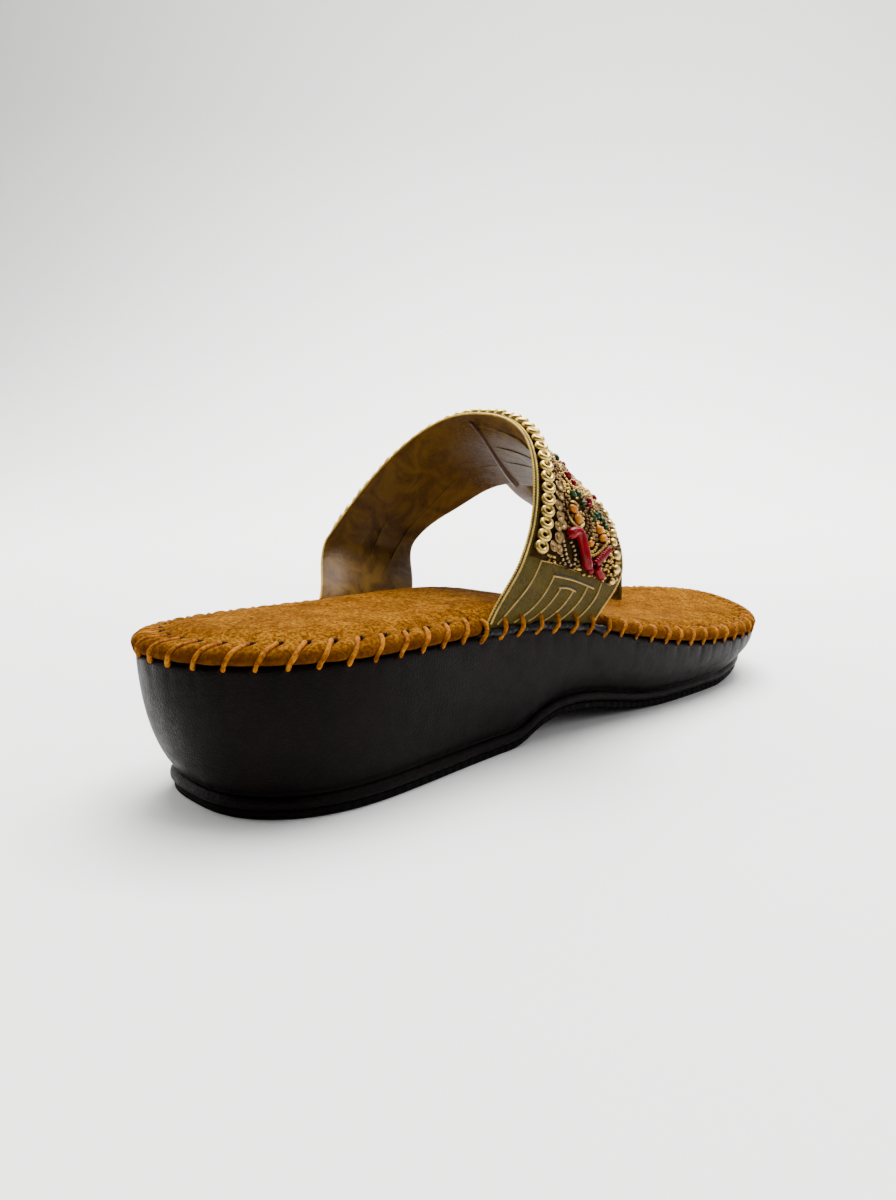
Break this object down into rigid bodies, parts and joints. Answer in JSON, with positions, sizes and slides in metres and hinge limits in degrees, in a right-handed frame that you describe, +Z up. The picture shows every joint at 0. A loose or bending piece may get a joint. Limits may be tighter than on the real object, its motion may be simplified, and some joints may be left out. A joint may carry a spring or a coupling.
{
  "type": "open thong slipper",
  "caption": "Open slip-on slipper for the right foot: wedge sole, stitched suede footbed, beaded vamp strap with a toe post.",
  "frame": {"origin": "centre of the bounding box in plan, on the floor", "axes": "+Y from heel to toe, +X to the outer side of the right foot, +Z up"},
  "size_m": [0.0882, 0.2564, 0.0983],
  "materials": {
    "outsole": "matt moulded rubber",
    "sole": "brown-black leatherette, satin, fine grain",
    "footbed": "tan suede with a mottled nap",
    "strap": "olive and gold brocade",
    "bead_panel": "beads, rings and sequins in gold, coral, green and orange"
  },
  "bodies": {
    "root": {"outsole": "outsole", "sole": "sole", "footbed": "footbed", "strap": "strap", "bead_panel": "bead_panel"}
  },
  "joints": []
}
